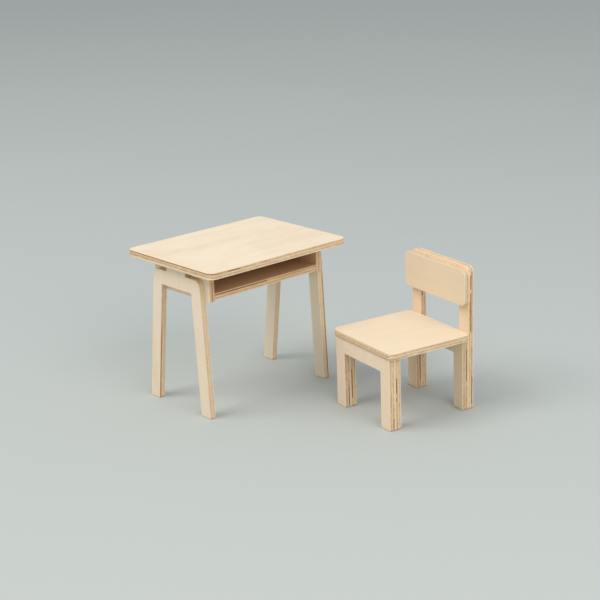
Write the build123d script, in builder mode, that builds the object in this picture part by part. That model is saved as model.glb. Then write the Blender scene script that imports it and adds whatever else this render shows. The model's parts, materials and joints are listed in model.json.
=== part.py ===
# A small plywood school desk with its matching chair, both put together from flat sheet parts.
# Millimetres, +Z up. X runs along the desk, +Y to its rear, and the chair stands off its front
# right corner. The origin is on the floor, at the middle of the set's overall footprint.
from build123d import *
from math import cos, radians, sin
import os

os.makedirs("parts", exist_ok=True)

# ---- sheet ----
sheet = 4.5                     # thickness of the plywood that every part is cut from

# ---- desk top ----
desk_width = 117.0
desk_depth = 91.0
desk_height = 104.0             # floor to the upper face of the top
top_corner = 5.0

# ---- book box under the top ----
box_overhang = 15.5             # the top reaches this far past the box's front
box_depth = 58.0
box_side_height = 20.0
shelf_lift = 0.9                # the shelf sits this much above the lower edge of the box sides

# ---- desk leg frames ----
leg_inset = 5.4                 # from the end of the top to the outer face of a leg frame
frame_top_depth = 49.0          # front to rear across the shoulders, centred on the box
shoulder_drop = 5.5             # the shoulders stay this far below the top, and the tab fills it
tab_width = 20.0
beam_height = 10.0
leg_width = 9.5
front_splay = 4.0               # how far the front foot stands out past the front shoulder
rear_splay = 13.0
shoulder_corner = 5.0

# ---- chair ----
chair_width = 60.0              # across the leg frames
chair_depth = 67.5              # front face of the front frame to the rear face of the back frame
chair_leg_width = 9.5
seat_height = 53.0              # floor to the upper face of the seat
seat_side_overhang = 3.0
seat_front_overhang = 0.8
seat_corner = 4.5
chair_beam_height = 10.2
arch_corner = 0.8               # inside corners of the chair's frames
back_height = 97.3
back_corner = 4.0
back_rail_height = 19.0
backrest_height = 24.0
backrest_drop = 1.3             # the backrest stops this far below the top of the back frame
backrest_side_overhang = 2.0

# ---- where the chair stands, from the middle of the desk top ----
chair_right = 18.5              # middle of the chair's front face
chair_forward = 99.5
chair_turn = 9.7                # degrees, clockwise seen from above

# ---- heights, faces and lengths that follow from the sizes above ----
top_underside = desk_height - sheet
shoulder_height = top_underside - shoulder_drop
desk_arch_height = shoulder_height - beam_height
box_side_bottom = top_underside - box_side_height
shelf_underside = box_side_bottom + shelf_lift
frame_outer_x = desk_width / 2 - leg_inset
box_side_outer_x = frame_outer_x - sheet
shelf_length = 2 * (box_side_outer_x - sheet)

seat_underside = seat_height - sheet
chair_arch_height = seat_underside - chair_beam_height
back_frame_front = chair_depth - sheet
seat_length = back_frame_front + seat_front_overhang
seat_width = chair_width + 2 * seat_side_overhang
backrest_width = chair_width + 2 * backrest_side_overhang
chair_arch_width = chair_width - 2 * chair_leg_width

# ---- footprint of the set, measured from the middle of the desk top ----
turn = radians(chair_turn)
footprint_left = -desk_width / 2
footprint_rear = desk_depth / 2
footprint_right = chair_right + chair_depth * cos(turn) + chair_width / 2 * sin(turn)
seat_reach = (
    (back_frame_front - seat_corner) * sin(turn)
    + (seat_width / 2 - seat_corner) * cos(turn)
    + seat_corner
)
backrest_reach = back_frame_front * sin(turn) + backrest_width / 2 * cos(turn)
footprint_front = -chair_forward - max(seat_reach, backrest_reach)
desk_x = -(footprint_left + footprint_right) / 2
desk_y = -(footprint_front + footprint_rear) / 2

# ---- planes that the sketches stand on ----
desk_floor = Plane(origin=(desk_x, desk_y, 0))
desk_side = Plane(origin=desk_floor.origin, x_dir=(0, 1, 0), z_dir=(1, 0, 0))
chair_floor = Plane(
    origin=(desk_x + chair_right, desk_y - chair_forward, 0),
    x_dir=(cos(turn), -sin(turn), 0),
    z_dir=(0, 0, 1),
)
chair_front = Plane(
    origin=chair_floor.origin, x_dir=chair_floor.y_dir, z_dir=chair_floor.x_dir
)
box_front_y = -desk_depth / 2 + box_overhang
box_middle_y = box_front_y + box_depth / 2


# ---- desk ----
def desk_top():
    """Rounded rectangular board on top of both leg frames and the book box."""
    with BuildPart() as board:
        with BuildSketch(desk_floor.offset(top_underside)):
            RectangleRounded(desk_width, desk_depth, top_corner)
        extrude(amount=sheet)
    board.part.label = "desk_top"
    export_step(board.part, "parts/desk_top.step")


def desk_leg_frame(name, left_face):
    """Arch-shaped leg frame, one sheet thick, with splayed legs and a raised tab in the middle."""
    front_shoulder = box_middle_y - frame_top_depth / 2
    rear_shoulder = box_middle_y + frame_top_depth / 2
    front_foot = front_shoulder - front_splay
    rear_foot = rear_shoulder + rear_splay
    arch_share = desk_arch_height / shoulder_height
    front_arch = front_foot + front_splay * arch_share + leg_width
    rear_arch = rear_foot - rear_splay * arch_share - leg_width
    with BuildPart() as frame:
        with BuildSketch(desk_side.offset(left_face)) as outline:
            with BuildLine():
                Polyline(
                    (front_foot, 0),
                    (front_shoulder, shoulder_height),
                    (rear_shoulder, shoulder_height),
                    (rear_foot, 0),
                    (rear_foot - leg_width, 0),
                    (rear_arch, desk_arch_height),
                    (front_arch, desk_arch_height),
                    (front_foot + leg_width, 0),
                    close=True,
                )
            make_face()
            fillet(outline.vertices().group_by(Axis.Y)[-1], shoulder_corner)
            with Locations((box_middle_y, shoulder_height)):
                Rectangle(tab_width, shoulder_drop, align=(Align.CENTER, Align.MIN))
        extrude(amount=sheet)
    frame.part.label = name
    export_step(frame.part, f"parts/{name}.step")


def box_side(name, left_face):
    """Side of the book box, glued to the inner face of a leg frame."""
    with BuildPart() as side:
        with BuildSketch(desk_side.offset(left_face)):
            with Locations((box_middle_y, box_side_bottom)):
                Rectangle(box_depth, box_side_height, align=(Align.CENTER, Align.MIN))
        extrude(amount=sheet)
    side.part.label = name
    export_step(side.part, f"parts/{name}.step")


def desk_shelf():
    """Floor of the book box, held between its two sides and flush with their front edges."""
    with BuildPart() as shelf:
        with BuildSketch(desk_floor.offset(shelf_underside)):
            with Locations((0, box_middle_y)):
                Rectangle(shelf_length, box_depth)
        extrude(amount=sheet)
    shelf.part.label = "desk_shelf"
    export_step(shelf.part, "parts/desk_shelf.step")


def desk_back_panel():
    """Rear wall of the book box, standing on the shelf and reaching up to the top."""
    wall_bottom = shelf_underside + sheet
    with BuildPart() as wall:
        with BuildSketch(desk_floor.offset(wall_bottom)):
            with Locations((0, box_front_y + box_depth)):
                Rectangle(shelf_length, sheet, align=(Align.CENTER, Align.MAX))
        extrude(amount=top_underside - wall_bottom)
    wall.part.label = "desk_back_panel"
    export_step(wall.part, "parts/desk_back_panel.step")


# ---- chair ----
def chair_low_frame(name, front_face):
    """Arch-shaped chair leg frame, one sheet thick, that carries the seat."""
    with BuildPart() as frame:
        with BuildSketch(chair_front.offset(front_face)) as outline:
            Rectangle(chair_width, seat_underside, align=(Align.CENTER, Align.MIN))
            Rectangle(
                chair_arch_width,
                chair_arch_height,
                align=(Align.CENTER, Align.MIN),
                mode=Mode.SUBTRACT,
            )
            arch_top = outline.vertices().filter_by_position(
                Axis.Y, chair_arch_height, chair_arch_height
            )
            fillet(arch_top, arch_corner)
        extrude(amount=sheet)
    frame.part.label = name
    export_step(frame.part, f"parts/{name}.step")


def chair_back_frame():
    """Tall rear frame: two posts from the floor to the top, a beam at the seat and a top rail."""
    window_height = back_height - back_rail_height - seat_underside
    with BuildPart() as frame:
        with BuildSketch(chair_front.offset(back_frame_front)) as outline:
            Rectangle(chair_width, back_height, align=(Align.CENTER, Align.MIN))
            fillet(outline.vertices().group_by(Axis.Y)[-1], back_corner)
            Rectangle(
                chair_arch_width,
                chair_arch_height,
                align=(Align.CENTER, Align.MIN),
                mode=Mode.SUBTRACT,
            )
            arch_top = outline.vertices().filter_by_position(
                Axis.Y, chair_arch_height, chair_arch_height
            )
            fillet(arch_top, arch_corner)
            with Locations((0, seat_underside)):
                Rectangle(
                    chair_arch_width,
                    window_height,
                    align=(Align.CENTER, Align.MIN),
                    mode=Mode.SUBTRACT,
                )
        extrude(amount=sheet)
    frame.part.label = "chair_back_frame"
    export_step(frame.part, "parts/chair_back_frame.step")


def chair_seat():
    """Rounded seat board on the front and rear low frames, butted against the back frame."""
    with BuildPart() as board:
        with BuildSketch(chair_floor.offset(seat_underside)):
            with Locations((back_frame_front - seat_length / 2, 0)):
                RectangleRounded(seat_length, seat_width, seat_corner)
        extrude(amount=sheet)
    board.part.label = "chair_seat"
    export_step(board.part, "parts/chair_seat.step")


def chair_backrest():
    """Rounded backrest board on the front face of the back frame, just below its top."""
    middle_height = back_height - backrest_drop - backrest_height / 2
    with BuildPart() as board:
        with BuildSketch(chair_front.offset(back_frame_front - sheet)):
            with Locations((0, middle_height)):
                RectangleRounded(backrest_width, backrest_height, back_corner)
        extrude(amount=sheet)
    board.part.label = "chair_backrest"
    export_step(board.part, "parts/chair_backrest.step")


desk_top()
desk_leg_frame("desk_left_leg_frame", -frame_outer_x)
desk_leg_frame("desk_right_leg_frame", frame_outer_x - sheet)
box_side("desk_left_box_side", -box_side_outer_x)
box_side("desk_right_box_side", box_side_outer_x - sheet)
desk_shelf()
desk_back_panel()
chair_low_frame("chair_front_frame_outer", 0)
chair_low_frame("chair_front_frame_inner", sheet)
chair_low_frame("chair_rear_low_frame", back_frame_front - sheet)
chair_back_frame()
chair_seat()
chair_backrest()
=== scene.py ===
import json
from math import cos, pi, radians, sin

import bmesh
import bpy
from mathutils import Matrix, Vector


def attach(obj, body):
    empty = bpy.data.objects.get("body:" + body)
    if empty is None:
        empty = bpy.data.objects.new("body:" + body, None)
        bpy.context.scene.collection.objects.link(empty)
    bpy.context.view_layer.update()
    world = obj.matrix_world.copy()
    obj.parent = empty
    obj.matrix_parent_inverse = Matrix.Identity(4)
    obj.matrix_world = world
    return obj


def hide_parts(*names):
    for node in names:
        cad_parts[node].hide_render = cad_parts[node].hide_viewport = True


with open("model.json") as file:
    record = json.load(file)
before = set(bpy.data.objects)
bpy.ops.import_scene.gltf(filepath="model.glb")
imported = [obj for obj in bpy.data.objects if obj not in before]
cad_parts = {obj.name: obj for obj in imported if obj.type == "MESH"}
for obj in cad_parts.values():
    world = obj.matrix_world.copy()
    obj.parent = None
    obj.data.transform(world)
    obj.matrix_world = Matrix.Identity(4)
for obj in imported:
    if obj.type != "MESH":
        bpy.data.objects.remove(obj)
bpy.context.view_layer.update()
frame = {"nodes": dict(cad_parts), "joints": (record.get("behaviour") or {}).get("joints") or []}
print("frame loaded,", len(frame["nodes"]), "sheets")

scene = bpy.context.scene
mm = 0.001  # every size below is in millimetres

# the directions that the sheets are turned by: the desk stands square, the chair along its slide
up = Vector((0, 0, 1))
deskRight = Vector((1, 0, 0))
chairRear = Vector(frame["joints"][0]["axis"]).normalized()
directions = {
    "up": up,
    "deskRight": deskRight,
    "deskRear": up.cross(deskRight),
    "chairRear": chairRear,
    "chairLeft": up.cross(chairRear),
}


# camera
cameraSettings = {
    "turn": -41.05,  # degrees round the set
    "lift": 17.7,
    "roll": -2.15,
    "distance": 902.7,
    "aimPoint": (-2.05, 1.62, 70.3),
    "lens": 81.7,
    "sensor": 36,
}


def placeCamera():
    turn, lift, roll = (radians(cameraSettings[key]) for key in ("turn", "lift", "roll"))
    back = Vector((sin(turn) * cos(lift), -cos(turn) * cos(lift), sin(lift)))
    right = Vector((cos(turn), sin(turn), 0))
    top = back.cross(right)
    rolledRight = right * cos(roll) + top * sin(roll)
    rolledTop = top * cos(roll) - right * sin(roll)
    data = bpy.data.cameras.new("camera")
    data.lens = cameraSettings["lens"]
    data.sensor_width = cameraSettings["sensor"]
    data.clip_start = 0.01
    camera = bpy.data.objects.new("camera", data)
    scene.collection.objects.link(camera)
    place = Matrix((rolledRight, rolledTop, back)).transposed().to_4x4()
    place.translation = (Vector(cameraSettings["aimPoint"]) + back * cameraSettings["distance"]) * mm
    camera.matrix_world = place
    scene.camera = camera


placeCamera()


# sets a socket to a value, or joins it to another socket
def feed(tree, socket, value):
    if isinstance(value, bpy.types.NodeSocket):
        tree.links.new(value, socket)
    elif value is not None:
        socket.default_value = value


def addNode(tree, kind, inputs=None, **options):
    node = tree.nodes.new(kind)
    for key, value in options.items():
        setattr(node, key, value)
    for key, value in (inputs or {}).items():
        feed(tree, node.inputs[key], value)
    return node


def doMath(tree, operation, *values):
    node = addNode(tree, "ShaderNodeMath", operation=operation)
    for socket, value in zip(node.inputs, values):
        feed(tree, socket, value)
    return node.outputs[0]


def doVector(tree, operation, *values):
    node = addNode(tree, "ShaderNodeVectorMath", operation=operation)
    for socket, value in zip(node.inputs, values):
        feed(tree, socket, value)
    gives = "Value" if operation in ("DOT_PRODUCT", "LENGTH", "DISTANCE") else "Vector"
    return node.outputs[gives]


def scaleVector(tree, vector, factor):
    node = addNode(tree, "ShaderNodeVectorMath", {"Vector": vector, "Scale": factor}, operation="SCALE")
    return node.outputs["Vector"]


# the share of the way that a value has gone between two limits
def mapRange(tree, value, fromMin, fromMax, toMin=0.0, toMax=1.0, smooth=False):
    kind = "SMOOTHSTEP" if smooth else "LINEAR"
    node = addNode(tree, "ShaderNodeMapRange", interpolation_type=kind)
    for socket, number in zip(node.inputs, (value, fromMin, fromMax, toMin, toMax)):
        feed(tree, socket, number)
    return node.outputs["Result"]


def openGroup(name, kind, inputs, outputs):
    tree = bpy.data.node_groups.new(name, kind)
    for label, socketType, default in inputs:
        socket = tree.interface.new_socket(label, in_out="INPUT", socket_type=socketType)
        if default is not None:
            socket.default_value = default
    for label, socketType in outputs:
        tree.interface.new_socket(label, in_out="OUTPUT", socket_type=socketType)
    return tree, tree.nodes.new("NodeGroupInput").outputs, tree.nodes.new("NodeGroupOutput").inputs


# what a sheet is made of
sheetSettings = {
    "veneer": 0.68,  # thickness of each face ply
    "corePlies": 3,
    "arris": 0.25,  # how far the sanded edges are rounded
    "arrisSteps": 3,
    "seamWidth": 0.16,
    "seamDepth": 0.05,
    "glueWidth": 0.15,
    "glueSpread": 0.6,  # a strong line is this much wider
    "cornerRound": 0.42,  # upright corners of the outline
    "pointSpacing": 0.8,
    "waviness": 0.05,  # how unevenly the core plies are sanded back
    "gapDepth": 0.45,  # where a core ply is missing a strip
    "gapReach": 0.34,
    "seed": 3,
    "outlineTurn": 0.95,  # a corner bends more than this cosine
    "cornerPoints": 3,
    "sandingScale": 900.0,  # how fine the unevenness is
    "weldDistance": 0.002,
    "creaseAngle": 0.6,
}


# heights of the glue lines and of both faces, from one face to the other, in mm
def plyLevels(thickness):
    core = (thickness - 2 * sheetSettings["veneer"]) / sheetSettings["corePlies"]
    glue = [sheetSettings["veneer"] + core * i for i in range(sheetSettings["corePlies"] + 1)]
    return [0.0, *glue, thickness]


def edgeProfile(thickness):
    # x is how far a point lies inside the outline, y its height; the radius says what may move it:
    # 0 nothing, 0.5 the unevenness of the sanding, 1 a missing strip as well
    arris, steps = sheetSettings["arris"], sheetSettings["arrisSteps"]
    levels = plyLevels(thickness)
    halfSeam = sheetSettings["seamWidth"] / 2
    rounding = []
    for i in range(steps + 1):
        angle = pi / 2 * i / steps
        rounding.append((arris * (1 - sin(angle)), arris * (1 - cos(angle)), 0.0))
    points = list(rounding)
    for number, level in enumerate(levels[1:-1]):
        points.append((0.0, level - halfSeam, 0.5 if number else 0.0))
        points.append((sheetSettings["seamDepth"], level, 0.0))
        points.append((0.0, level + halfSeam, 0.5 if number < len(levels) - 3 else 0.0))
        if number < len(levels) - 3:
            points.append((0.0, (level + levels[number + 2]) / 2, 1.0))
    points += [(inset, thickness - height, share) for inset, height, share in reversed(rounding)]
    return points


def curveObject(name, loops, cyclic):
    data = bpy.data.curves.new(name, "CURVE")
    data.dimensions = "3D"
    for loop in loops:
        spline = data.splines.new("POLY")
        spline.points.add(len(loop) - 1)
        for point, place in zip(spline.points, loop):
            point.co = (place[0] * mm, place[1] * mm, 0, 1)
            point.radius = place[2] if len(place) > 2 else 1
        spline.use_cyclic_u = cyclic
    made = bpy.data.objects.new(name, data)
    scene.collection.objects.link(made)
    return made


# geometry tree: a plywood sheet from its outline
def buildSheetTree():
    tree, given, result = openGroup(
        "plywoodSheet",
        "GeometryNodeTree",
        [
            ("Outline", "NodeSocketGeometry", None),
            ("Edge Profile", "NodeSocketObject", None),
            ("Gap Marks", "NodeSocketObject", None),
            ("Thickness", "NodeSocketFloat", 4.5 * mm),
            ("Arris", "NodeSocketFloat", sheetSettings["arris"] * mm),
            ("Corner Round", "NodeSocketFloat", sheetSettings["cornerRound"] * mm),
            ("Point Spacing", "NodeSocketFloat", sheetSettings["pointSpacing"] * mm),
            ("Waviness", "NodeSocketFloat", sheetSettings["waviness"] * mm),
            ("Gap Depth", "NodeSocketFloat", sheetSettings["gapDepth"] * mm),
            ("Gap Reach", "NodeSocketFloat", sheetSettings["gapReach"] * mm),
            ("Seed", "NodeSocketInt", 0),
            ("Finish", "NodeSocketMaterial", None),
        ],
        [("Sheet", "NodeSocketGeometry")],
    )

    def step():  # the way from each outline point to the next
        index = addNode(tree, "GeometryNodeOffsetPointInCurve", {"Offset": 1}).outputs["Point Index"]
        position = addNode(tree, "GeometryNodeInputPosition").outputs[0]
        nextPoint = addNode(tree, "GeometryNodeFieldAtIndex", data_type="FLOAT_VECTOR", domain="POINT")
        feed(tree, nextPoint.inputs["Index"], index)
        feed(tree, nextPoint.inputs["Value"], position)
        return doVector(tree, "SUBTRACT", nextPoint.outputs[0], position)

    tangent = addNode(tree, "GeometryNodeInputTangent").outputs[0]
    halfTurn = doVector(tree, "DOT_PRODUCT", tangent, doVector(tree, "NORMALIZE", step()))

    # round the sharp corners of the outline, then give it points close enough to be uneven
    sharp = doMath(tree, "LESS_THAN", halfTurn, sheetSettings["outlineTurn"])
    rounded = addNode(
        tree,
        "GeometryNodeFilletCurve",
        {"Curve": given["Outline"], "Radius": doMath(tree, "MULTIPLY", sharp, given["Corner Round"])},
        mode="POLY",
    )
    rounded.inputs["Count"].default_value = sheetSettings["cornerPoints"]
    spaces = doMath(tree, "DIVIDE", doVector(tree, "LENGTH", step()), given["Point Spacing"])
    cuts = doMath(tree, "FLOOR", spaces)
    path = addNode(tree, "GeometryNodeSubdivideCurve", {"Curve": rounded.outputs[0], "Cuts": cuts})

    # each outline point keeps its place and its mitre, the direction in which an edge moves inwards
    inward = doVector(tree, "CROSS_PRODUCT", (0, 0, 1), tangent)
    mitreLength = doMath(tree, "DIVIDE", 1.0, doMath(tree, "MAXIMUM", halfTurn, 0.3))
    mitre = scaleVector(tree, inward, mitreLength)
    along = doMath(tree, "ABSOLUTE", doVector(tree, "DOT_PRODUCT", tangent, (1, 0, 0)))
    kept = addNode(tree, "GeometryNodeCaptureAttribute", domain="POINT")
    kept.capture_items.new("VECTOR", "Foot")
    kept.capture_items.new("VECTOR", "Mitre")
    kept.capture_items.new("FLOAT", "Along")
    position = addNode(tree, "GeometryNodeInputPosition").outputs[0]
    feed(tree, kept.inputs["Geometry"], path.outputs[0])
    feed(tree, kept.inputs["Foot"], position)
    feed(tree, kept.inputs["Mitre"], mitre)
    feed(tree, kept.inputs["Along"], along)

    # the profile keeps its inset, height and share
    profile = addNode(tree, "GeometryNodeObjectInfo", {"Object": given["Edge Profile"]})
    marked = addNode(tree, "GeometryNodeCaptureAttribute", domain="POINT")
    marked.capture_items.new("VECTOR", "Place")
    marked.capture_items.new("FLOAT", "Share")
    feed(tree, marked.inputs["Geometry"], profile.outputs["Geometry"])
    feed(tree, marked.inputs["Place"], position)
    feed(tree, marked.inputs["Share"], addNode(tree, "GeometryNodeInputRadius").outputs[0])
    place = addNode(tree, "ShaderNodeSeparateXYZ", {"Vector": marked.outputs["Place"]})
    inset, height = place.outputs[0], place.outputs[1]
    raised = addNode(tree, "ShaderNodeCombineXYZ", {"Z": height}).outputs[0]
    wallPlace = doVector(tree, "ADD", kept.outputs["Foot"], raised)

    # unevenness of the sanded core plies
    noise = addNode(tree, "ShaderNodeTexNoise", {"Detail": 2.0}, noise_dimensions="4D")
    feed(tree, noise.inputs["Scale"], sheetSettings["sandingScale"])
    feed(tree, noise.inputs["Vector"], wallPlace)
    feed(tree, noise.inputs["W"], given["Seed"])
    doubleShare = doMath(tree, "MULTIPLY", marked.outputs["Share"], 2)
    wavy = mapRange(tree, noise.outputs[0], 0.3, 0.7)
    wavy = doMath(tree, "MULTIPLY", wavy, doMath(tree, "MINIMUM", doubleShare, 1))

    # strips that a core ply is missing, near the mark lines
    marks = addNode(tree, "GeometryNodeObjectInfo", {"Object": given["Gap Marks"]})
    near = addNode(tree, "GeometryNodeProximity", target_element="EDGES")
    feed(tree, near.inputs["Geometry"], marks.outputs["Geometry"])
    feed(tree, near.inputs["Sample Position"], wallPlace)
    closeness = mapRange(tree, near.outputs["Distance"], given["Gap Reach"], 0.0, smooth=True)
    missing = doMath(tree, "MULTIPLY", closeness, near.outputs["Is Valid"])
    openShare = doMath(tree, "MAXIMUM", doMath(tree, "SUBTRACT", doubleShare, 1), 0)
    missing = doMath(tree, "MULTIPLY", missing, openShare)

    # side wall: the profile swept round the outline, every row moved along the mitres
    wall = addNode(
        tree,
        "GeometryNodeCurveToMesh",
        {"Curve": kept.outputs["Geometry"], "Profile Curve": marked.outputs["Geometry"]},
    )
    wall = addNode(tree, "GeometryNodeFlipFaces", {"Mesh": wall.outputs[0]})  # outwards
    depth = doMath(tree, "ADD", inset, doMath(tree, "MULTIPLY", wavy, given["Waviness"]))
    depth = doMath(tree, "ADD", depth, doMath(tree, "MULTIPLY", missing, given["Gap Depth"]))
    moved = doVector(tree, "ADD", wallPlace, scaleVector(tree, kept.outputs["Mitre"], depth))
    stored = wall
    # the missing-strip mask is stored for the painted shade in the finish
    for label, value in (("gap", missing), ("along", kept.outputs["Along"])):
        stored = addNode(
            tree,
            "GeometryNodeStoreNamedAttribute",
            {"Geometry": stored.outputs[0], "Name": label, "Value": value},
            data_type="FLOAT",
            domain="POINT",
        )
    shaped = addNode(tree, "GeometryNodeSetPosition", {"Geometry": stored.outputs[0], "Position": moved})

    # both faces
    toCap = scaleVector(tree, kept.outputs["Mitre"], given["Arris"])
    capPlace = doVector(tree, "ADD", kept.outputs["Foot"], toCap)
    capLine = addNode(
        tree,
        "GeometryNodeSetPosition",
        {"Geometry": kept.outputs["Geometry"], "Position": capPlace},
    )
    face = addNode(tree, "GeometryNodeFillCurve", {"Curve": capLine.outputs[0]}, mode="NGONS")
    lower = addNode(tree, "GeometryNodeFlipFaces", {"Mesh": face.outputs[0]})
    lift = addNode(tree, "ShaderNodeCombineXYZ", {"Z": given["Thickness"]}).outputs[0]
    upper = addNode(tree, "GeometryNodeTransform", {"Geometry": face.outputs[0], "Translation": lift})
    joined = addNode(tree, "GeometryNodeJoinGeometry")
    for part in (lower.outputs[0], upper.outputs[0], shaped.outputs[0]):
        tree.links.new(part, joined.inputs[0])
    closed = addNode(
        tree,
        "GeometryNodeMergeByDistance",
        {"Geometry": joined.outputs[0], "Distance": sheetSettings["weldDistance"] * mm},
    )

    # smooth over the roundings, crisp at the faces and in the seams
    smooth = addNode(
        tree,
        "GeometryNodeSetShadeSmooth",
        {"Geometry": closed.outputs[0], "Shade Smooth": True},
        domain="FACE",
    )
    angle = addNode(tree, "GeometryNodeInputMeshEdgeAngle").outputs["Unsigned Angle"]
    sides = addNode(tree, "GeometryNodeInputMeshFaceNeighbors").outputs["Vertex Count"]
    bent = doMath(tree, "GREATER_THAN", angle, sheetSettings["creaseAngle"])
    onCap = doMath(tree, "GREATER_THAN", sides, 4.1)  # only the caps have more than four corners
    crisp = doMath(tree, "MAXIMUM", bent, onCap)
    edged = addNode(
        tree,
        "GeometryNodeSetShadeSmooth",
        {"Geometry": smooth.outputs[0], "Selection": crisp, "Shade Smooth": False},
        domain="EDGE",
    )
    solid = addNode(tree, "GeometryNodeRealizeInstances", {"Geometry": edged.outputs[0]})
    finished = addNode(
        tree,
        "GeometryNodeSetMaterial",
        {"Geometry": solid.outputs[0], "Material": given["Finish"]},
    )
    feed(tree, result["Sheet"], finished.outputs[0])
    return tree


sheetTree = buildSheetTree()
print("sheet tree built")


# noise stretched along one direction, from about 0 to 1
def pattern(tree, vector, stretch, detail=3.0, roughness=0.55, scale=1.0):
    stretched = doVector(tree, "MULTIPLY", vector, stretch)
    settings = {"Vector": stretched, "Scale": scale, "Detail": detail, "Roughness": roughness}
    noise = addNode(tree, "ShaderNodeTexNoise", settings)
    return noise.outputs[0]


def mixColor(tree, factor, first, second, blend="MIX"):
    node = addNode(tree, "ShaderNodeMix", data_type="RGBA", blend_type=blend)
    feed(tree, node.inputs["Factor"], factor)
    feed(tree, node.inputs[6], first)
    feed(tree, node.inputs[7], second)
    return node.outputs[2]


def mixFloat(tree, factor, first, second):
    node = addNode(tree, "ShaderNodeMix", data_type="FLOAT")
    for socket, value in zip(node.inputs[:1] + node.inputs[2:4], (factor, first, second)):
        feed(tree, socket, value)
    return node.outputs[0]


# shader groups that every sheet shares
colorSocket, floatSocket, vectorSocket = "NodeSocketColor", "NodeSocketFloat", "NodeSocketVector"


def buildVeneerGrain():
    tree, given, result = openGroup(
        "veneerGrain",
        "ShaderNodeTree",
        [
            ("Vector", vectorSocket, None),
            ("Pale", colorSocket, (0.83, 0.72, 0.56, 1)),
            ("Dark", colorSocket, (0.72, 0.56, 0.38, 1)),
            ("Streaks", floatSocket, 0.5),
            ("Flecks", floatSocket, 0.3),
        ],
        [("Color", colorSocket), ("Roughness", floatSocket), ("Height", floatSocket)],
    )
    vector = given["Vector"]
    bands = mapRange(tree, pattern(tree, vector, (0.012, 0.14, 0.14), 2.0), 0.36, 0.68)
    fibres = mapRange(tree, pattern(tree, vector, (0.03, 1.6, 1.6), 4.0, 0.65), 0.3, 0.72)
    hairs = mapRange(tree, pattern(tree, vector, (0.12, 6.5, 6.5), 2.0), 0.35, 0.7)
    clouds = mapRange(tree, pattern(tree, vector, (0.035, 0.05, 0.05), 2.0), 0.35, 0.65)
    grain = doMath(tree, "ADD", doMath(tree, "MULTIPLY", bands, 0.45), doMath(tree, "MULTIPLY", fibres, 0.35))
    grain = doMath(tree, "ADD", grain, doMath(tree, "MULTIPLY", hairs, 0.2))
    grain = doMath(tree, "MULTIPLY", grain, doMath(tree, "ADD", doMath(tree, "MULTIPLY", clouds, 0.6), 0.55))
    shade = doMath(tree, "MULTIPLY", grain, given["Streaks"])
    dashes = mapRange(tree, pattern(tree, vector, (0.42, 7.0, 7.0), 1.0), 0.68, 0.78)
    shade = doMath(tree, "ADD", shade, doMath(tree, "MULTIPLY", dashes, given["Flecks"]))
    feed(tree, result["Color"], mixColor(tree, shade, given["Pale"], given["Dark"]))
    feed(tree, result["Roughness"], mapRange(tree, fibres, 0, 1, 0.56, 0.7))
    feed(tree, result["Height"], doMath(tree, "SUBTRACT", doMath(tree, "MULTIPLY", hairs, 0.6), dashes))
    return tree


def buildPlyCore():
    tree, given, result = openGroup(
        "plyCore",
        "ShaderNodeTree",
        [
            ("Vector", vectorSocket, None),
            ("Thickness", floatSocket, 4.5),
            ("Veneer", floatSocket, sheetSettings["veneer"]),
            ("Plies", floatSocket, 3.0),
            ("Along", floatSocket, 1.0),
            ("Long Grain", colorSocket, (0.74, 0.58, 0.38, 1)),
            ("End Grain", colorSocket, (0.58, 0.42, 0.25, 1)),
        ],
        [("Color", colorSocket), ("Mask", floatSocket), ("Roughness", floatSocket), ("Height", floatSocket)],
    )
    vector = given["Vector"]
    depth = addNode(tree, "ShaderNodeSeparateXYZ", {"Vector": vector}).outputs[2]
    core = doMath(tree, "SUBTRACT", given["Thickness"], doMath(tree, "MULTIPLY", given["Veneer"], 2))
    ply = doMath(tree, "DIVIDE", core, given["Plies"])
    position = doMath(tree, "DIVIDE", doMath(tree, "SUBTRACT", depth, given["Veneer"]), ply)
    alternate = doMath(tree, "PINGPONG", doMath(tree, "ADD", position, 0.5), 1.0)
    crossed = doMath(tree, "GREATER_THAN", alternate, 0.5)
    # a cross ply shows end grain where the edge runs with the face grain, and long grain where it doesn't
    across = doMath(tree, "LESS_THAN", given["Along"], 0.7)
    crossed = doMath(tree, "ABSOLUTE", doMath(tree, "SUBTRACT", crossed, across))
    pastFirst = doMath(tree, "GREATER_THAN", position, 0.0)
    inside = doMath(tree, "MULTIPLY", pastFirst, doMath(tree, "LESS_THAN", position, given["Plies"]))

    # end grain leans a little, long grain runs with the ply
    lean = doMath(tree, "MULTIPLY", depth, -1.6)
    leaning = addNode(tree, "ShaderNodeCombineXYZ", {"X": lean, "Y": lean}).outputs[0]
    slanted = doVector(tree, "ADD", vector, leaning)
    hatch = mapRange(tree, pattern(tree, slanted, (0.75, 0.75, 0.2), 3.0), 0.38, 0.62)
    threads = mapRange(tree, pattern(tree, vector, (0.12, 0.12, 5.0), 3.0), 0.32, 0.7)
    patches = mapRange(tree, pattern(tree, vector, (0.09, 0.09, 0.8), 2.0), 0.35, 0.65)
    endShade = doMath(tree, "MULTIPLY", hatch, 0.55)
    endShade = doMath(tree, "ADD", endShade, doMath(tree, "MULTIPLY", patches, 0.2))
    endShade = doMath(tree, "ADD", endShade, 0.25)
    longShade = doMath(tree, "MULTIPLY", threads, 0.25)
    longShade = doMath(tree, "ADD", longShade, doMath(tree, "MULTIPLY", patches, 0.15))
    longShade = doMath(tree, "ADD", longShade, doMath(tree, "MULTIPLY", hatch, 0.12))
    shade = mixFloat(tree, crossed, longShade, endShade)
    feed(tree, result["Color"], mixColor(tree, shade, given["Long Grain"], given["End Grain"]))
    feed(tree, result["Mask"], inside)
    feed(tree, result["Roughness"], mapRange(tree, shade, 0, 1, 0.68, 0.85))
    feed(tree, result["Height"], doMath(tree, "MULTIPLY", shade, -0.8))
    return tree


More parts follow.
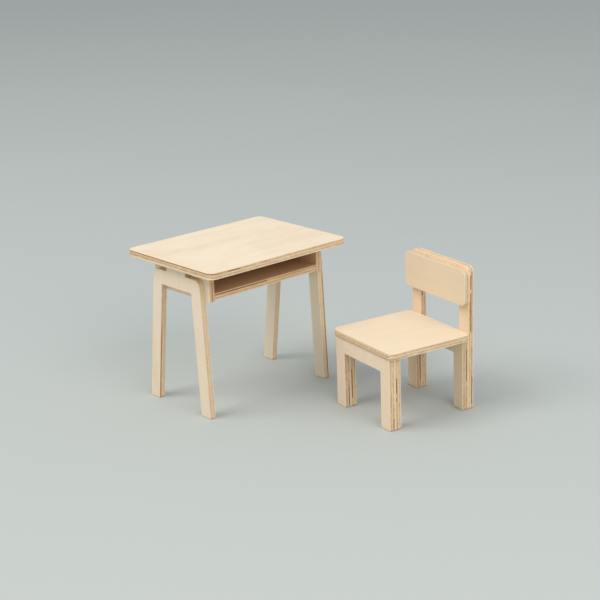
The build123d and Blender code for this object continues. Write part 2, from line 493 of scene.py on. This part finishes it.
def buildGlueLine():
    tree, given, result = openGroup(
        "glueLine",
        "ShaderNodeTree",
        [
            ("Vector", vectorSocket, None),
            ("Level", floatSocket, sheetSettings["veneer"]),
            ("Width", floatSocket, sheetSettings["glueWidth"]),
            ("Strength", floatSocket, 0.5),
        ],
        [("Mask", floatSocket)],
    )
    vector = given["Vector"]
    depth = addNode(tree, "ShaderNodeSeparateXYZ", {"Vector": vector}).outputs[2]
    wander = doMath(tree, "SUBTRACT", pattern(tree, vector, (0.3, 0.3, 0.0), 2.0), 0.5)
    wander = doMath(tree, "MULTIPLY", wander, 0.16)
    away = doMath(tree, "SUBTRACT", doMath(tree, "ADD", depth, wander), given["Level"])
    away = doMath(tree, "ABSOLUTE", away)
    line = mapRange(tree, away, given["Width"], 0.0, smooth=True)
    broken = mapRange(tree, pattern(tree, vector, (0.11, 0.11, 0.9), 3.0), 0.42, 0.6)
    unbroken = doMath(tree, "SUBTRACT", doMath(tree, "MULTIPLY", given["Strength"], 2), 1)
    line = doMath(tree, "MULTIPLY", line, doMath(tree, "MAXIMUM", broken, unbroken))
    feed(tree, result["Mask"], doMath(tree, "MULTIPLY", line, given["Strength"]))
    return tree


veneerGrain, plyCore, glueLine = buildVeneerGrain(), buildPlyCore(), buildGlueLine()
print("shader groups built")


# one plywood finish for each sheet
woodColors = {
    "streak": (0.70, 0.53, 0.34, 1),
    "glue": (0.36, 0.14, 0.045, 1),
    # painted shade for the strips where a core ply is missing
    "gap": (0.28, 0.15, 0.07, 1),
}


def useGroup(tree, group, inputs):
    node = tree.nodes.new("ShaderNodeGroup")
    node.node_tree = group
    for key, value in inputs.items():
        feed(tree, node.inputs[key], value)
    return node.outputs


def plywoodFinish(name, sheetPlace, thickness, sheet):
    material = bpy.data.materials.new(name + "_plywood")
    material.use_nodes = True
    tree = material.node_tree
    shader = tree.nodes["Principled BSDF"]

    # object coordinates turned into the sheet's own: X along the face grain, Z through the plies, in mm
    turned = addNode(tree, "ShaderNodeMapping", vector_type="TEXTURE")
    feed(tree, turned.inputs["Vector"], addNode(tree, "ShaderNodeTexCoord").outputs["Object"])
    turned.inputs["Location"].default_value = sheetPlace.translation
    turned.inputs["Rotation"].default_value = sheetPlace.to_euler()
    turned.inputs["Scale"].default_value = (mm, mm, mm)
    vector = turned.outputs[0]
    # each sheet is cut from a different piece of veneer
    shifted = doVector(tree, "ADD", vector, (sheet["cut"] * 37.0, sheet["cut"] * 23.0, 0.0))

    place = addNode(tree, "ShaderNodeSeparateXYZ", {"Vector": vector})
    fromBack = place.outputs[2]
    upperHalf = doMath(tree, "GREATER_THAN", fromBack, thickness / 2)
    backTone = (*sheet.get("backTone", sheet["tone"]), 1)
    tone = mixColor(tree, upperHalf, backTone, (*sheet["tone"], 1))
    face = useGroup(tree, veneerGrain, {
        "Vector": shifted,
        "Pale": tone,
        "Dark": woodColors["streak"],
        "Streaks": sheet["streaks"],
        "Flecks": sheet["flecks"],
    })
    longGrain, endGrain = ((*color, 1) for color in sheet["core"])
    core = useGroup(tree, plyCore, {
        "Vector": shifted,
        "Along": addNode(tree, "ShaderNodeAttribute", attribute_name="along").outputs["Fac"],
        "Thickness": thickness,
        "Veneer": sheetSettings["veneer"],
        "Plies": sheetSettings["corePlies"],
        "Long Grain": longGrain,
        "End Grain": endGrain,
    })
    nearest = doMath(tree, "MINIMUM", fromBack, doMath(tree, "SUBTRACT", thickness, fromBack))
    cutEdge = mapRange(tree, nearest, 0.1, 0.45)  # the veneers turn tan where they are cut
    color = mixColor(tree, cutEdge, face["Color"], longGrain)
    color = mixColor(tree, core["Mask"], color, core["Color"])

    for number, level in enumerate(plyLevels(thickness)[1:-1]):
        strength = sheet["seams"][number]
        for axis, full, gone in sheet["fades"].get(number, []):
            fading = mapRange(tree, place.outputs[axis], full, gone, 1.0, 0.25)
            strength = doMath(tree, "MULTIPLY", strength, fading)
        line = useGroup(tree, glueLine, {
            "Vector": shifted,
            "Level": level,
            "Width": sheetSettings["glueWidth"] + sheetSettings["glueSpread"] * sheet["seams"][number],
            "Strength": strength,
        })
        color = mixColor(tree, line["Mask"], color, woodColors["glue"])
    # painted shade: where a core ply is missing a strip, the edge is darkened beyond the shade of its shallow
    # recess
    gap = addNode(tree, "ShaderNodeAttribute", attribute_name="gap").outputs["Fac"]
    color = mixColor(tree, mapRange(tree, gap, 0.1, 0.6), color, woodColors["gap"])
    if "rim" in sheet:  # painted contact shade: the feet are darker right at the floor
        rim = mapRange(tree, place.outputs[0], sheet["rim"] + 0.3, sheet["rim"] + 1.3, 0.5, 0.0)
        color = mixColor(tree, rim, color, endGrain)
    feed(tree, shader.inputs["Base Color"], color)

    rough = mixFloat(tree, core["Mask"], face["Roughness"], core["Roughness"])
    feed(tree, shader.inputs["Roughness"], rough)
    high = mixFloat(tree, core["Mask"], face["Height"], core["Height"])
    bump = addNode(
        tree,
        "ShaderNodeBump",
        {"Height": high, "Strength": 0.35, "Distance": 0.05 * mm},
    )
    feed(tree, shader.inputs["Normal"], bump.outputs[0])
    shader.inputs["Specular IOR Level"].default_value = 0.3
    return material


# the thirteen sheets
# through: the way the plies are stacked; grain: the way the face veneer runs
# seams: how strong each glue line is; fades: where one weakens, as axis, full and gone
# gaps: ply, place across the grain, and from where to where along it, from the sheet's end
creamy, plain, warm = (0.86, 0.735, 0.565), (0.86, 0.715, 0.55), (0.85, 0.70, 0.51)
rosy, peach, orange = (0.88, 0.70, 0.525), (0.83, 0.665, 0.47), (0.88, 0.655, 0.455)
# painted shade: the last three are darker, warmer copies of the face tone, for the faces inside the book box
boxShade, boxDeepShade, boxWarmShade = (0.53, 0.29, 0.15), (0.27, 0.11, 0.045), (0.66, 0.41, 0.235)

# long grain and end grain of the core plies
tan = ((0.88, 0.69, 0.47), (0.52, 0.32, 0.15))
soft = ((0.80, 0.63, 0.43), (0.62, 0.44, 0.26))
# painted shade: a darker copy of the core colours, for the sheets that sit in shade inside the box and under
# the seat
shadedCore = ((0.77, 0.57, 0.37), (0.47, 0.28, 0.13))
usual = {"streaks": 0.4, "flecks": 0.15, "seams": (0.35, 0.25, 0.25, 0.35), "fades": {}, "core": tan}

sheets = {
    "desk_top": {
        "through": "up", "grain": "deskRight", "tone": creamy, "seams": (0.8, 0.7, 0.35, 1.0),
        "fades": {3: [(0, -58, -20)], 0: [(0, 58, 40)], 1: [(0, -50, -5)]}, "gaps": [(3, -45.5, 14, 24)],
        "streaks": 0.55,
    },
    "desk_left_leg_frame": {
        "through": "deskRight", "grain": "up", "tone": plain, "seams": (1.0, 0.3, 0.25, 0.4),
        "fades": {0: [(0, -5, 25), (1, -6, 0)]}, "core": soft,
    },
    "desk_right_leg_frame": {
        # painted shade: the inner face under the desk top is a darker copy of the face tone
        "through": "deskRight", "grain": "up", "tone": plain, "backTone": (0.80, 0.69, 0.54),
        "seams": (0.4, 0.3, 0.35, 1.0),
        "fades": {3: [(0, 25, 45), (1, 6, 0)]}, "core": soft,
    },
    "desk_left_box_side": {
        # painted shade: the face inside the box is darker and warmer, and so is the core
        "through": "deskRight", "grain": "deskRear", "tone": boxShade, "backTone": creamy,
        "seams": (0.3, 0.3, 0.9, 0.6), "core": shadedCore,
    },
    "desk_right_box_side": {
        # painted shade: the face inside the box is darker and warmer, and so is the core
        "through": "deskRight", "grain": "deskRear", "tone": creamy, "backTone": boxWarmShade, "core": shadedCore,
    },
    "desk_shelf": {
        # painted shade: the top inside the box is darker and warmer, and so is the core
        "through": "up", "grain": "deskRight", "tone": boxShade, "backTone": warm,
        "seams": (0.3, 0.3, 0.5, 0.7), "core": shadedCore,
        "gaps": [(3, -29, 1, 44)],
    },
    "desk_back_panel": {
        # painted shade: the front face, inside the box, is the darkest and warmest
        "through": "deskRear", "grain": "deskRight", "tone": warm, "backTone": boxDeepShade,
    },
    "chair_seat": {
        "through": "up", "grain": "chairRear", "tone": warm, "seams": (0.9, 0.3, 0.25, 0.3),
        "fades": {0: [(0, -28, -14)]},
    },
    "chair_front_frame_outer": {
        "through": "chairRear", "grain": "up", "tone": rosy, "seams": (0.3, 0.5, 0.4, 0.4),
        "gaps": [(3, 30, 2, 8), (3, -20.5, 2, 14)],
    },
    "chair_front_frame_inner": {
        "through": "chairRear", "grain": "up", "tone": rosy, "seams": (0.4, 0.6, 0.3, 0.4),
        "gaps": [(1, 30, 25, 35), (1, 30, 19, 21.5), (1, -20.5, 6, 26)],
    },
    "chair_rear_low_frame": {
        # painted shade: the core is darker, as this frame sits in shade under the seat
        "through": "chairRear", "grain": "up", "tone": peach, "core": shadedCore,
        "gaps": [(3, 30, 20, 42), (3, -20.5, 6, 30)],
    },
    "chair_back_frame": {
        "through": "chairRear", "grain": "up", "tone": rosy, "backTone": orange,
        "seams": (0.3, 0.4, 0.6, 0.4),
        "gaps": [(2, 30, 53, 79), (3, 30, 3, 22), (2, 30, 82, 91), (1, -20.5, 66, 77)],
    },
    "chair_backrest": {
        "through": "chairRear", "grain": "chairLeft", "tone": peach,
        "gaps": [(3, 12, 42, 55)],
    },
}


# where the sheet's own axes stand: the origin in the middle of its lower broad face
def sheetPlace(node, through, grain):
    across = through.cross(grain)
    corners = [vertex.co for vertex in frame["nodes"][node].data.vertices]
    spans = []
    for axis in (grain, across, through):
        reach = [corner.dot(axis) for corner in corners]
        spans.append((min(reach), max(reach)))
    middle = grain * sum(spans[0]) / 2 + across * sum(spans[1]) / 2 + through * spans[2][0]
    place = Matrix((grain, across, through)).transposed().to_4x4()
    place.translation = middle
    return place, [(high - low) / mm for low, high in spans]


# the corners of one broad face, each loop with the wood on its left
def sheetOutline(node, place):
    mesh = bmesh.new()
    mesh.from_mesh(frame["nodes"][node].data)
    bmesh.ops.remove_doubles(mesh, verts=mesh.verts, dist=0.001 * mm)
    bmesh.ops.transform(mesh, matrix=place.inverted(), verts=mesh.verts)
    mesh.normal_update()
    broad = {face for face in mesh.faces if face.normal.z > 0.99}
    following = {}
    for face in broad:
        for corner in face.loops:
            if any(other not in broad for other in corner.edge.link_faces):
                following[corner.vert] = corner.link_loop_next.vert
    loops = []
    while following:
        start = vertex = next(iter(following))
        loop = []
        while vertex in following:
            loop.append(vertex)
            vertex = following.pop(vertex)
        loops.append([(v.co.x / mm, v.co.y / mm) for v in loop])
    mesh.free()
    return [dropStraightPoints(loop) for loop in loops]


def dropStraightPoints(loop):
    kept = []
    for before, point, after in zip(loop[-1:] + loop[:-1], loop, loop[1:] + loop[:1]):
        first = Vector((point[0] - before[0], point[1] - before[1]))
        second = Vector((after[0] - point[0], after[1] - point[1]))
        if first.normalized().dot(second.normalized()) < 0.99999:
            kept.append(point)
    return kept


# short lines on the edge of the sheet, one along each missing strip
def gapMarks(name, gaps, sizes, thickness):
    levels = plyLevels(thickness)
    mesh = bpy.data.meshes.new(name)
    points, edges = [], []
    for ply, side, start, end in gaps:
        level = (levels[ply] + levels[ply + 1]) / 2
        edges.append((len(points), len(points) + 1))
        points += [((along - sizes[0] / 2) * mm, side * mm, level * mm) for along in (start, end)]
    mesh.from_pydata(points, edges, [])
    made = bpy.data.objects.new(name, mesh)
    scene.collection.objects.link(made)
    return made


def makeSheet(node, sheet, cut):
    through, grain = directions[sheet["through"]], directions[sheet["grain"]]
    place, sizes = sheetPlace(node, through, grain)
    thickness = sizes[2]
    look = {**usual, **sheet, "cut": cut}
    if sheet["grain"] == "up":
        # where the painted contact shade at the feet begins
        look["rim"] = -sizes[0] / 2
    finish = plywoodFinish(node, place, thickness, look)
    outline = curveObject("outline", sheetOutline(node, place), True)
    profile = curveObject("profile", [edgeProfile(thickness)], False)
    marks = gapMarks("marks", sheet.get("gaps", []), sizes, thickness)

    maker = outline.modifiers.new("plywoodSheet", "NODES")
    maker.node_group = sheetTree
    values = {
        "Edge Profile": profile,
        "Gap Marks": marks,
        "Thickness": thickness * mm,
        "Arris": sheetSettings["arris"] * mm,
        "Corner Round": sheetSettings["cornerRound"] * mm,
        "Point Spacing": sheetSettings["pointSpacing"] * mm,
        "Waviness": sheetSettings["waviness"] * mm,
        "Gap Depth": sheetSettings["gapDepth"] * mm,
        "Gap Reach": sheetSettings["gapReach"] * mm,
        "Seed": sheetSettings["seed"] + cut,
        "Finish": finish,
    }
    for item in sheetTree.interface.items_tree:
        if item.in_out == "INPUT" and item.name in values:
            maker[item.identifier] = values[item.name]

    evaluated = outline.evaluated_get(bpy.context.evaluated_depsgraph_get())
    mesh = bpy.data.meshes.new_from_object(evaluated)
    mesh.transform(place)
    mesh.name = node + "_sheet"
    for helper in (outline, profile, marks):
        bpy.data.objects.remove(helper)
    piece = bpy.data.objects.new(node + "_sheet", mesh)
    scene.collection.objects.link(piece)
    body = "desk" if node.startswith("desk") else "chair"
    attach(piece, body)
    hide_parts(node)
    return piece


for cut, (node, sheet) in enumerate(sheets.items()):
    makeSheet(node, sheet, cut)
print("sheets made")


# floor and light
studioSettings = {
    "floorColor": (0.50, 0.53, 0.51),
    "floorSize": 6.0,
    "sky": (0.93, 0.97, 1.0),
    "skyStrength": 0.63,
    "lamps": [
        {
            "name": "key", "place": (-1.5, 0.6, 2.1), "size": 1.5,
            "power": 31.5, "color": (1.0, 0.975, 0.94),
        },
        {
            "name": "fill", "place": (-0.35, -1.45, 1.1), "size": 1.3,
            "power": 14.5, "color": (1.0, 0.985, 0.965),
        },
    ],
}


def makeFloor():
    half = studioSettings["floorSize"] / 2
    mesh = bpy.data.meshes.new("floor")
    corners = [(-half, -half, 0), (half, -half, 0), (half, half, 0), (-half, half, 0)]
    mesh.from_pydata(corners, [], [(0, 1, 2, 3)])
    floor = bpy.data.objects.new("floor", mesh)
    scene.collection.objects.link(floor)
    material = bpy.data.materials.new("floorPaper")
    material.use_nodes = True
    tree = material.node_tree
    shader = tree.nodes["Principled BSDF"]
    soft = pattern(tree, addNode(tree, "ShaderNodeTexCoord").outputs["Object"], (3.0, 3.0, 3.0), 2.0)
    pale = studioSettings["floorColor"]
    darker = [value * 0.985 for value in pale]
    feed(tree, shader.inputs["Base Color"], mixColor(tree, soft, (*pale, 1), (*darker, 1)))
    shader.inputs["Roughness"].default_value = 0.95
    shader.inputs["Specular IOR Level"].default_value = 0.1
    mesh.materials.append(material)


def makeLight():
    world = bpy.data.worlds.new("studio")
    scene.world = world
    world.use_nodes = True
    background = world.node_tree.nodes["Background"]
    background.inputs["Color"].default_value = (*studioSettings["sky"], 1)
    background.inputs["Strength"].default_value = studioSettings["skyStrength"]
    for lamp in studioSettings["lamps"]:
        data = bpy.data.lights.new(lamp["name"], "AREA")
        data.energy = lamp["power"]
        data.size = lamp["size"]
        data.color = lamp["color"]
        light = bpy.data.objects.new(lamp["name"], data)
        scene.collection.objects.link(light)
        light.location = lamp["place"]
        light.rotation_euler = (-Vector(lamp["place"])).to_track_quat("-Z", "Y").to_euler()


makeFloor()
makeLight()
scene.view_settings.view_transform = "Standard"
print("studio ready")
